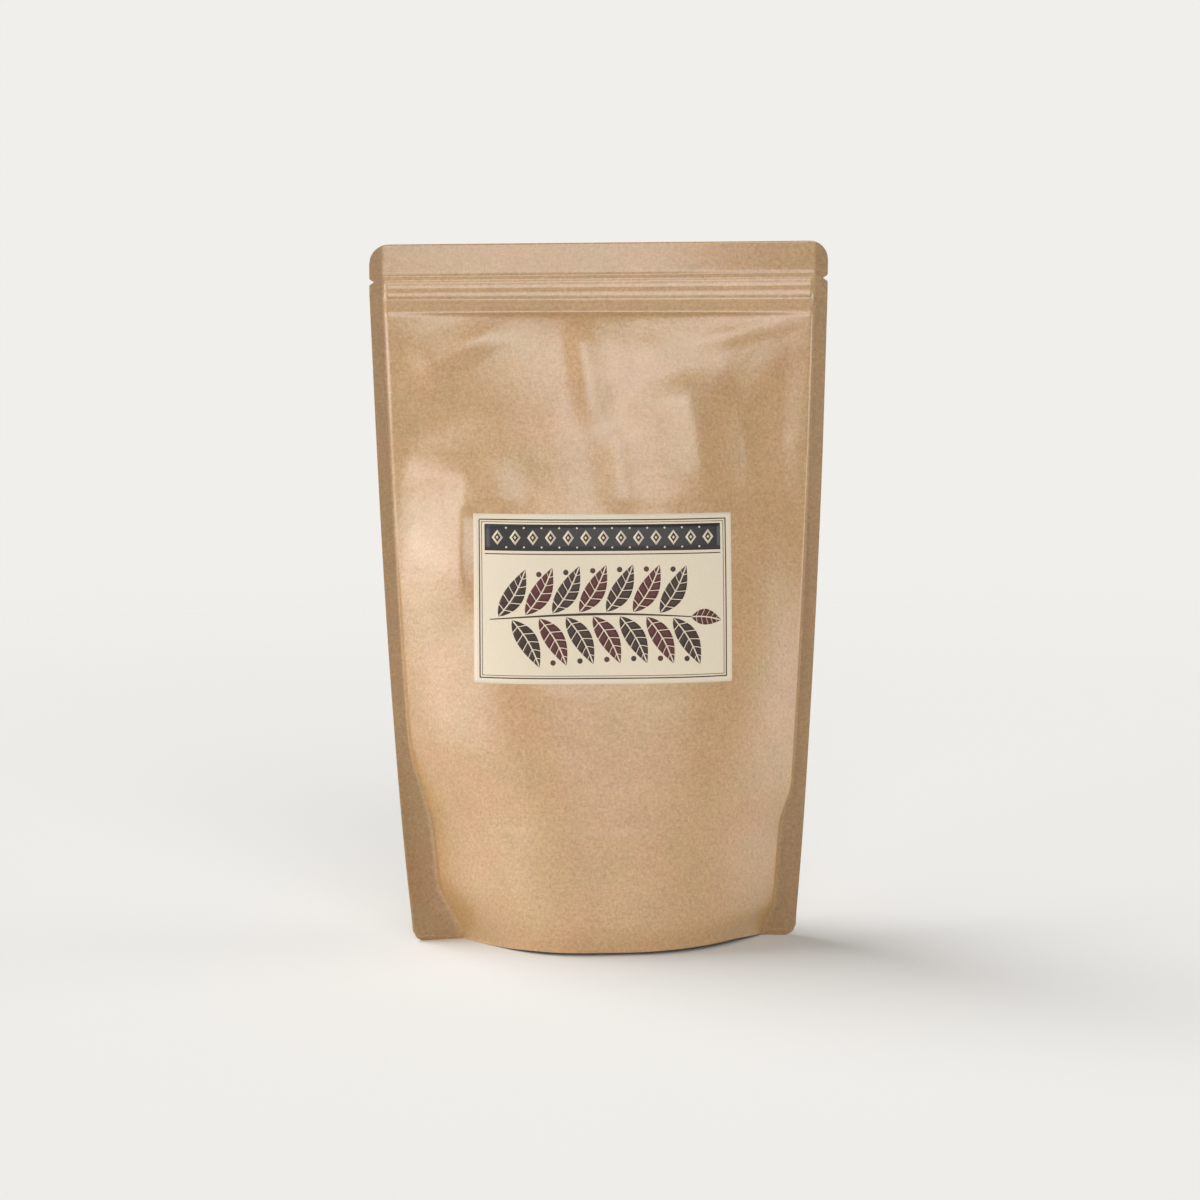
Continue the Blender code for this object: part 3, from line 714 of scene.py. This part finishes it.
TIMES = {"data_type": "RGBA", "blend_type": "MULTIPLY"}  # makes a mix node multiply two colours
# Sizes of the kraft paper's patterns. Fibres are about 0.03 mm thick and 3 mm long. They are drawn 0.6 mm
# thick, so that they show. Specks of bark and knots of fibre are 0.2 to 1 mm, and drawn a little coarser.
FIBRES = ((2.4 * MM, 1 * MM, 0.6 * MM), (0.6 * MM, 1 * MM, 2.2 * MM))
GRIT, CLOUD, TINT, COCKLE = 1.2 * MM, 16 * MM, 21 * MM, 6 * MM
PINKER, YELLOWER = (1.02, 0.99, 0.96, 1), (0.97, 1.03, 0.95, 1)  # factors on the paper's colour


def kraft_paper(name, base, hex_deep, hex_light, coat):
    """Unbleached kraft paper, machine glazed and laminated to a barrier film.

    The eye gets brown softwood fibres and cloudy pulp under a satin sheen, and duller welds, their colour
    darkened partly by pressing and partly as painted shade.
    """
    material, tree, shader = new_material(name)
    place = add_node(tree, "ShaderNodeTexCoord").outputs["Object"]
    fibres = []
    for size in FIBRES:
        lying = add_node(tree, "ShaderNodeMapping", {0: place, "Scale": [1 / length for length in size]})
        lines = {"Vector": lying.outputs[0], "Scale": 1.0, "Detail": 4.0, "Roughness": 0.65}
        fibres.append(add_node(tree, "ShaderNodeTexNoise", lines).outputs[0])
    specks = {"Vector": place, "Scale": 1 / GRIT, "Detail": 4.0, "Roughness": 0.75}
    grit = add_node(tree, "ShaderNodeTexNoise", specks)
    clouds = {"Vector": place, "Scale": 1 / CLOUD, "Detail": 3.0, "Roughness": 0.55}
    cloud = add_node(tree, "ShaderNodeTexNoise", clouds)
    tints = {"Vector": place, "Scale": 1 / TINT, "Detail": 2.0, "Roughness": 0.5}
    tint = add_node(tree, "ShaderNodeTexNoise", tints)
    crossed = add_node(tree, "ShaderNodeMix", {0: 0.5, 2: fibres[0], 3: fibres[1]})
    grain = add_node(tree, "ShaderNodeMix", {0: 0.6, 2: crossed.outputs[0], 3: grit.outputs[0]})
    shade = add_node(tree, "ShaderNodeValToRGB", {0: grain.outputs[0]})
    shade.color_ramp.elements[0].position = 0.34
    shade.color_ramp.elements[0].color = linear(hex_deep)
    shade.color_ramp.elements[1].position = 0.66
    shade.color_ramp.elements[1].color = linear(hex_light)
    middle = shade.color_ramp.elements.new(0.5)
    middle.color = base
    # Clouds of the sheet's uneven thickness, some pinker and some yellower
    pulp = add_node(tree, "ShaderNodeValToRGB", {0: tint.outputs[0]})
    pulp.color_ramp.elements[0].position = 0.36
    pulp.color_ramp.elements[0].color = PINKER
    pulp.color_ramp.elements[1].position = 0.64
    pulp.color_ramp.elements[1].color = YELLOWER
    tinted = add_node(tree, "ShaderNodeMix", {0: 1.0, 6: shade.outputs[0], 7: pulp.outputs[0]}, **TIMES)
    mottle = add_node(tree, "ShaderNodeMapRange", {0: cloud.outputs[0], 1: 0.3, 2: 0.7, 3: 0.95, 4: 1.04})
    toned = add_node(tree, "ShaderNodeMix", {0: 1.0, 6: tinted.outputs[2], 7: mottle.outputs[0]}, **TIMES)
    # Heat and pressure leave the welds duller and somewhat darkened; part of their darkening is painted
    # shade, for the side welds recessed beside the belly
    weld = add_node(tree, "ShaderNodeAttribute", attribute_name="weld").outputs["Fac"]
    # Painted shade: the welds' colour goes down to 0.66 of the film's, more than pressing alone would do,
    # standing in for the shade on the recessed side welds
    weld_tone_with_painted_shade = add_node(tree, "ShaderNodeMapRange", {0: weld, 1: 0.0, 2: 1.0, 3: 1.0, 4: 0.66})
    film = add_node(tree, "ShaderNodeMix", {0: 1.0, 6: toned.outputs[2], 7: weld_tone_with_painted_shade.outputs[0]}, **TIMES)
    tree.links.new(film.outputs[2], shader.inputs["Base Color"])
    rough = add_node(tree, "ShaderNodeMapRange", {0: grit.outputs[0], 1: 0.3, 2: 0.7, 3: 0.35, 4: 0.45})
    parts = {0: weld, 1: 0.2, 2: rough.outputs[0]}
    duller = add_node(tree, "ShaderNodeMath", parts, operation="MULTIPLY_ADD")
    tree.links.new(duller.outputs[0], shader.inputs["Roughness"])
    # The paper cockles a little as it dries on the film
    swells = {"Vector": place, "Scale": 1 / COCKLE, "Detail": 2.0, "Roughness": 0.6}
    cockle = add_node(tree, "ShaderNodeTexNoise", swells)
    low = {"Strength": 0.35, "Distance": 0.0005, "Height": cockle.outputs[0]}
    waves = add_node(tree, "ShaderNodeBump", low)
    fine = {"Strength": 0.7, "Distance": 0.00012, "Height": grain.outputs[0], "Normal": waves.outputs[0]}
    bump = add_node(tree, "ShaderNodeBump", fine)
    tree.links.new(bump.outputs[0], shader.inputs["Normal"])
    tree.links.new(bump.outputs[0], shader.inputs["Coat Normal"])
    shiny = add_node(tree, "ShaderNodeMapRange", {0: weld, 1: 0.0, 2: 1.0, 3: coat, 4: 0.0})
    tree.links.new(shiny.outputs[0], shader.inputs["Coat Weight"])
    shader.inputs["IOR"].default_value = 1.5
    shader.inputs["Specular IOR Level"].default_value = 1.0
    shader.inputs["Coat Roughness"].default_value = 0.31
    shader.inputs["Coat IOR"].default_value = 1.65
    return material


def plain_finish(name, colour, roughness, size, strength, spread_by=0.06):
    """A finish with its own fine mottling and relief, of the size given in metres."""
    material, tree, shader = new_material(name)
    place = add_node(tree, "ShaderNodeTexCoord").outputs["Object"]
    mottling = {"Vector": place, "Scale": 1 / size, "Detail": 4.0, "Roughness": 0.6}
    grain = add_node(tree, "ShaderNodeTexNoise", mottling)
    limits = {0: grain.outputs[0], 1: 0.3, 2: 0.7, 3: 1 - spread_by, 4: 1 + spread_by}
    tone = add_node(tree, "ShaderNodeMapRange", limits)
    toned = add_node(tree, "ShaderNodeMix", {0: 1.0, 6: colour, 7: tone.outputs[0]}, **TIMES)
    tree.links.new(toned.outputs[2], shader.inputs["Base Color"])
    bump = add_node(
        tree, "ShaderNodeBump", {"Strength": strength, "Distance": size / 4, "Height": grain.outputs[0]}
    )
    tree.links.new(bump.outputs[0], shader.inputs["Normal"])
    shader.inputs["Roughness"].default_value = roughness
    return material


# Operators


class PouchSettings(bpy.types.PropertyGroup):
    """What a user would change on the pouch and its studio."""

    kraft_colour: FloatVectorProperty(
        name="Kraft",
        description="Colour of the kraft paper",
        default=linear("#C19564"),
        size=4,
        min=0,
        max=1,
        subtype="COLOR",
    )
    label_colour: FloatVectorProperty(
        name="Label",
        description="Colour of the label's paper",
        default=linear("#E4D6BE"),
        size=4,
        min=0,
        max=1,
        subtype="COLOR",
    )
    film: FloatProperty(
        name="Film",
        description="Thickness of the laminate",
        default=0.94 * FILM,
        min=0.3 * FILM,
        max=FILM,
        unit="LENGTH",
    )
    paper: FloatProperty(
        name="Paper",
        description="Thickness of the label",
        default=LABEL_PAPER,
        min=0.3 * LABEL_PAPER,
        max=LABEL_PAPER,
        unit="LENGTH",
    )
    key_light: FloatProperty(name="Key", description="Strength of the left light", default=0.92, min=0)
    strip_light: FloatProperty(
        name="Strip", description="Strength of the light between left and front", default=0.48, min=0
    )
    dome_light: FloatProperty(
        name="Dome", description="Strength of the high light behind on the left", default=2.25, min=0
    )
    front_light: FloatProperty(name="Front", description="Strength of the front light", default=1.08, min=0)
    rim_light: FloatProperty(name="Rim", description="Strength of the right light", default=0.85, min=0)


def kraft_materials(settings):
    """The film's face and its cut edge, made on first use."""
    made = bpy.data.materials
    face = made.get("machine_glazed_kraft_paper") or kraft_paper(
        "machine_glazed_kraft_paper", settings.kraft_colour, "#A47A4D", "#D6AC7B", 1.0
    )
    # A blade leaves the edge with torn, unglazed fibres, so it is paler and quite matt; its paleness is
    # also a painted highlight, for the light the cut edge catches
    edge = made.get("cut_kraft_edge") or kraft_paper(
        "cut_kraft_edge", linear("#C9A67D"), "#B48E66", "#DCBE98", 0.0
    )
    return [face, edge]


class POUCH_OT_webs(bpy.types.Operator):
    """Front and back webs of kraft laminate"""

    bl_idname = "pouch.webs"
    bl_label = "Webs"

    def execute(self, context):
        settings = context.scene.pouch
        build_web("front_film", FRONT, "front_web", kraft_materials(settings), settings.film)
        build_web("back_film", BACK, "back_web", kraft_materials(settings), settings.film)
        return {"FINISHED"}


class POUCH_OT_gusset(bpy.types.Operator):
    """Folded bottom film, welded to both webs"""

    bl_idname = "pouch.gusset"
    bl_label = "Gusset"

    def execute(self, context):
        build_gusset(kraft_materials(context.scene.pouch), context.scene.pouch.film)
        return {"FINISHED"}


class POUCH_OT_zipper(bpy.types.Operator):
    """Finish of the press-to-close zipper"""

    bl_idname = "pouch.zipper"
    bl_label = "Zipper"

    def execute(self, context):
        # Low-density polyethylene, extruded as one long profile: waxy, milky, with faint draw lines
        plastic = plain_finish("extruded_polyethylene", linear("#E4E2D8"), 0.35, 0.0012, 0.1)
        for name in ("zipper_groove", "zipper_rib"):
            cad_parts[name].material_slots[0].material = plastic
        return {"FINISHED"}


class POUCH_OT_beans(bpy.types.Operator):
    """Finish of the dried beans"""

    bl_idname = "pouch.beans"
    bl_label = "Beans"

    def execute(self, context):
        # The seed coat shrinks as it dries, into fine wrinkles with a dull oily shine on their crests
        skin = plain_finish("dried_tonka_seed_coat", linear("#2C1D17"), 0.45, 0.0016, 0.8, 0.4)
        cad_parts["bean_fill"].material_slots[0].material = skin
        return {"FINISHED"}


class POUCH_OT_label(bpy.types.Operator):
    """Paper label on the front web"""

    bl_idname = "pouch.label"
    bl_label = "Label"

    def execute(self, context):
        settings = context.scene.pouch
        # Uncoated label stock, pressed between felts while wet: matt, with a low pebbled relief
        paper = plain_finish("felt_marked_label_paper", settings.label_colour, 0.6, 0.0007, 0.35, 0.03)
        build_label([paper], settings.paper)
        return {"FINISHED"}


class POUCH_OT_print(bpy.types.Operator):
    """Leaf pattern printed on the label"""

    bl_idname = "pouch.print"
    bl_label = "Print"

    def execute(self, context):
        # Offset inks dry as a film on the paper: a touch glossier than it, and uneven where they sink in
        inks = [
            plain_finish("offset_ink_charcoal", linear("#2F2B2B"), 0.42, 0.0009, 0.12, 0.10),
            plain_finish("offset_ink_brown", linear("#3B281E"), 0.42, 0.0009, 0.12, 0.16),
            plain_finish("offset_ink_maroon", linear("#56231F"), 0.42, 0.0009, 0.12, 0.16),
            plain_finish("offset_ink_cream", linear("#E2D2B6"), 0.5, 0.0009, 0.12, 0.05),
        ]
        build_print(inks)
        return {"FINISHED"}


# Each lamp's azimuth and elevation, and how wide it looks from the pouch, in degrees. Azimuth 0 is in front
# of the pouch and -90 on its left.
LAMPS = {
    "key": (-78, 9, 30),
    "strip": (-50, 9, 24),
    "dome": (-115, 52, 44),
    "front": (8, 26, 42),
    "rim": (92, 10, 34),
}
LAMP_DISTANCE = 2.0
FLOOR_RADIUS = 6
FLOOR_FADE = (0.7, 1.6)  # from the pouch to where the floor starts to fade and to where it is gone
AMBIENT = 0.21
CAMERA_AIM = (0.0, 0.0, 0.143)
CAMERA_AZIMUTH, CAMERA_ELEVATION = -3.4, 6.3
CAMERA_DISTANCE = 1.3
LENS, SENSOR = 93.44, 36.0


def toward(azimuth, elevation):
    """The unit vector from the pouch towards these angles in degrees."""
    a, e = math.radians(azimuth), math.radians(elevation)
    return Vector((math.sin(a) * math.cos(e), -math.cos(a) * math.cos(e), math.sin(e)))


def aim(obj, target):
    """Turns a lamp or camera to look at a point."""
    obj.rotation_euler = (Vector(target) - obj.location).to_track_quat("-Z", "Y").to_euler()


class POUCH_OT_stage(bpy.types.Operator):
    """Floor, lights and camera"""

    bl_idname = "pouch.stage"
    bl_label = "Studio"

    def execute(self, context):
        scene = context.scene
        settings = scene.pouch
        scene.view_settings.view_transform = "Standard"
        floor_shape = bmesh.new()
        bmesh.ops.create_circle(floor_shape, cap_ends=True, radius=FLOOR_RADIUS, segments=96)
        mesh = bpy.data.meshes.new("studio_floor")
        floor_shape.to_mesh(mesh)
        floor_shape.free()
        floor = bpy.data.objects.new("studio_floor", mesh)
        scene.collection.objects.link(floor)
        # Matt emulsion, rolled on in thin coats: a pale and even ground with no shine
        material, tree, shader = new_material("painted_studio_floor")
        shader.inputs["Base Color"].default_value = linear("#E9E8E5")
        shader.inputs["Roughness"].default_value = 0.9
        shader.inputs["Specular IOR Level"].default_value = 0.0
        # The floor runs out into the plain backdrop far from the pouch
        place = add_node(tree, "ShaderNodeTexCoord").outputs["Object"]
        far = add_node(tree, "ShaderNodeVectorMath", {0: place}, operation="LENGTH").outputs["Value"]
        ends = {0: far, 1: FLOOR_FADE[0], 2: FLOOR_FADE[1]}
        gone = add_node(tree, "ShaderNodeMapRange", ends, interpolation_type="SMOOTHSTEP")
        clear = add_node(tree, "ShaderNodeBsdfTransparent")
        mix = add_node(
            tree, "ShaderNodeMixShader", {0: gone.outputs[0], 1: shader.outputs[0], 2: clear.outputs[0]}
        )
        tree.links.new(mix.outputs[0], tree.nodes["Material Output"].inputs["Surface"])
        mesh.materials.append(material)

        world = bpy.data.worlds.new("studio")
        scene.world = world
        world.use_nodes = True
        sky = world.node_tree
        seen = sky.nodes["Background"]
        seen.inputs["Color"].default_value = linear("#F0EFEB")
        seen.inputs["Strength"].default_value = 1.0
        ambient = add_node(sky, "ShaderNodeBackground", {"Color": linear("#FEFDFB"), "Strength": AMBIENT})
        direct = add_node(sky, "ShaderNodeLightPath").outputs["Is Camera Ray"]
        mixed = add_node(sky, "ShaderNodeMixShader", {0: direct, 1: ambient.outputs[0], 2: seen.outputs[0]})
        sky.links.new(mixed.outputs[0], sky.nodes["World Output"].inputs["Surface"])

        for name, (azimuth, elevation, wide) in LAMPS.items():
            sun = bpy.data.lights.new(name, "SUN")
            sun.energy = getattr(settings, name + "_light")
            sun.angle = math.radians(wide)
            lamp = bpy.data.objects.new(name, sun)
            lamp.location = toward(azimuth, elevation) * LAMP_DISTANCE
            scene.collection.objects.link(lamp)
            aim(lamp, (0, 0, 0))

        camera = bpy.data.cameras.new("camera")
        camera.sensor_width = SENSOR
        camera.lens = LENS
        holder = bpy.data.objects.new("camera", camera)
        holder.location = Vector(CAMERA_AIM) + toward(CAMERA_AZIMUTH, CAMERA_ELEVATION) * CAMERA_DISTANCE
        scene.collection.objects.link(holder)
        aim(holder, CAMERA_AIM)
        scene.camera = holder
        return {"FINISHED"}


class POUCH_PT_panel(bpy.types.Panel):
    """Lists the pouch's settings and steps"""

    bl_idname = "POUCH_PT_panel"
    bl_label = "Kraft pouch"
    bl_space_type = "VIEW_3D"
    bl_region_type = "UI"
    bl_category = "Pouch"

    def draw(self, context):
        for name in PouchSettings.__annotations__:
            self.layout.prop(context.scene.pouch, name)
        for operator in STEPS:
            self.layout.operator(operator.bl_idname)


STEPS = (
    POUCH_OT_stage,
    POUCH_OT_webs,
    POUCH_OT_gusset,
    POUCH_OT_zipper,
    POUCH_OT_beans,
    POUCH_OT_label,
    POUCH_OT_print,
)
CLASSES = (PouchSettings, *STEPS, POUCH_PT_panel)


def register():
    for added in CLASSES:
        bpy.utils.register_class(added)
    bpy.types.Scene.pouch = PointerProperty(type=PouchSettings)


def unregister():
    del bpy.types.Scene.pouch
    for added in reversed(CLASSES):
        bpy.utils.unregister_class(added)


def main():
    register()
    bpy.ops.pouch.stage()
    bpy.ops.pouch.webs()
    bpy.ops.pouch.gusset()
    bpy.ops.pouch.zipper()
    bpy.ops.pouch.beans()
    bpy.ops.pouch.label()
    bpy.ops.pouch.print()


if __name__ == "__main__":
    main()
